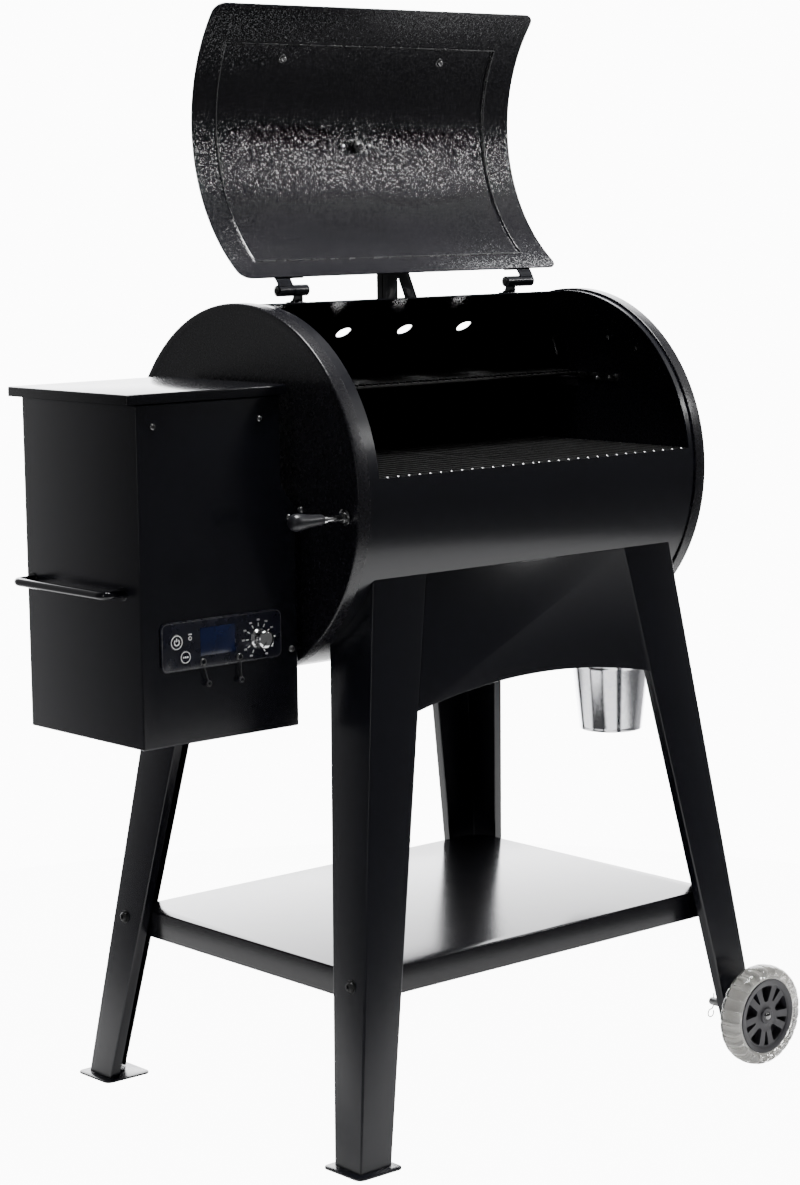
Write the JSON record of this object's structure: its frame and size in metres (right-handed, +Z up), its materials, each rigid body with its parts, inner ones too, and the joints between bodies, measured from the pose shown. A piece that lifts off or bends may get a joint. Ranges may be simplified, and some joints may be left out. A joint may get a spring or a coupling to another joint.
{
  "type": "pellet smoker grill",
  "caption": "Horizontal barrel wood-pellet grill on splayed legs with hinged lid, side pellet hopper, controller, auger feed, grates, grease bucket, lower shelf and wheels.",
  "frame": {"origin": "centre of the bounding box on the floor, with the lid open", "axes": "+X to the cook's right, along the barrel; +Y to the back; +Z up"},
  "size_m": [1.0838, 0.716, 1.5391],
  "materials": {
    "powder": "satin black powder coat",
    "enamel": "textured black high-heat coat",
    "gloss_black": "gloss black",
    "panel": "dark blue-black overlay film",
    "display": "unlit dark blue display window",
    "chrome": "bright chrome",
    "steel": "plain steel",
    "galvanised": "galvanised sheet",
    "cast_iron": "dark coated iron",
    "hub_plastic": "dark grey moulded plastic",
    "soft_rubber": "matt black rubber",
    "clear_tyre": "clear grey polyurethane"
  },
  "bodies": {
    "body": {"barrel_shell": "powder", "left_end_cap": "powder", "right_end_cap": "powder", "leg_front_left": "powder", "leg_rear_left": "powder", "leg_front_right": "powder", "leg_rear_right": "powder", "foot_front_left": "powder", "foot_rear_left": "powder", "front_apron": "powder", "rear_apron": "powder", "bottom_shelf": "powder", "hinge_bracket_left": "powder", "hinge_bracket_right": "powder", "hopper_cabinet": "powder", "drain_spout": "powder", "hopper_handle": "gloss_black", "control_panel": "panel", "display_window": "display", "broiler_rod_bushing": "chrome", "axle_front": "steel", "axle_rear": "steel", "hopper_safety_screen": "steel", "auger_tube": "steel", "igniter_rod": "steel", "hopper_bin": "galvanised", "auger_motor": "cast_iron", "combustion_fan_housing": "cast_iron", "fire_pot": "cast_iron", "flame_broiler_plate": "cast_iron", "main_grate_left": "cast_iron", "main_grate_right": "cast_iron", "upper_rack": "cast_iron", "power_inlet": "soft_rubber"},
    "lid": {"lid_shell": "enamel", "lid_handle_bar": "steel", "lid_handle_post_left": "powder", "lid_handle_post_right": "powder", "lid_thermometer": "chrome", "lid_hinge_leaf_left": "powder", "lid_hinge_leaf_right": "powder", "lid_stop_bracket": "powder"},
    "hopper_cover": {"hopper_lid": "powder"},
    "dial": {"temperature_knob": "chrome"},
    "power_key": {"power_button": "panel"},
    "prime_key": {"prime_button": "panel"},
    "broiler": {"broiler_slide": "chrome", "broiler_grip": "hub_plastic"},
    "auger": {"auger_screw": "steel"},
    "fan": {"fan_impeller": "steel"},
    "front_wheel": {"wheel_hub_front": "hub_plastic", "wheel_tyre_front": "clear_tyre"},
    "rear_wheel": {"wheel_hub_rear": "hub_plastic", "wheel_tyre_rear": "clear_tyre"},
    "bail": {"bucket_bail": "steel"},
    "bucket": {"grease_bucket": "galvanised"},
    "left_cap": {"probe_cap_left": "soft_rubber"},
    "right_cap": {"probe_cap_right": "soft_rubber"}
  },
  "joints": [
    {"name": "lid_hinge", "type": "hinge", "parent": "body", "child": "lid", "pos_m": [0.08937, 0.023, 1.147], "axis": [1, 0, 0], "range_deg": [0, 143]},
    {"name": "hopper_lid_hinge", "type": "hinge", "parent": "body", "child": "hopper_cover", "pos_m": [-0.39413, 0.1315, 1.0185], "axis": [-1, 0, 0], "range_deg": [0, 95]},
    {"name": "temperature_dial", "type": "hinge", "parent": "body", "child": "dial", "pos_m": [-0.31923, -0.13725, 0.6995], "axis": [0, 1, 0], "range_deg": [0, 300]},
    {"name": "power_press", "type": "slide", "parent": "body", "child": "power_key", "axis": [0, 1, 0], "range_m": [0, 0.0015], "stiffness_N_per_m": 600},
    {"name": "prime_press", "type": "slide", "parent": "body", "child": "prime_key", "axis": [0, 1, 0], "range_m": [0, 0.0015], "stiffness_N_per_m": 600},
    {"name": "broiler_pull", "type": "slide", "parent": "body", "child": "broiler", "axis": [-1, 0, 0], "range_m": [0, 0.15]},
    {"name": "auger_turn", "type": "hinge", "parent": "body", "child": "auger", "pos_m": [-0.21063, 0, 0.713], "axis": [1, 0, 0], "continuous": true},
    {"name": "fan_turn", "type": "hinge", "parent": "body", "child": "fan", "pos_m": [-0.36063, 0, 0.626], "axis": [1, 0, 0], "continuous": true},
    {"name": "front_wheel_turn", "type": "hinge", "parent": "body", "child": "front_wheel", "pos_m": [0.44637, -0.337, 0.074], "axis": [0, 1, 0], "continuous": true},
    {"name": "rear_wheel_turn", "type": "hinge", "parent": "body", "child": "rear_wheel", "pos_m": [0.44637, 0.337, 0.074], "axis": [0, 1, 0], "continuous": true},
    {"name": "bail_swing", "type": "hinge", "parent": "body", "child": "bail", "pos_m": [0.47737, 0, 0.672], "axis": [1, 0, 0], "range_deg": [-10, 10]},
    {"name": "bucket_swing", "type": "hinge", "parent": "bail", "child": "bucket", "pos_m": [0.47737, 0, 0.576], "axis": [0, 1, 0], "range_deg": [-15, 15]},
    {"name": "left_cap_swing", "type": "hinge", "parent": "body", "child": "left_cap", "pos_m": [-0.41163, -0.13985, 0.673], "axis": [0, 1, 0], "range_deg": [-30, 20]},
    {"name": "right_cap_swing", "type": "hinge", "parent": "body", "child": "right_cap", "pos_m": [-0.35163, -0.13985, 0.673], "axis": [0, 1, 0], "range_deg": [-20, 30]}
  ]
}
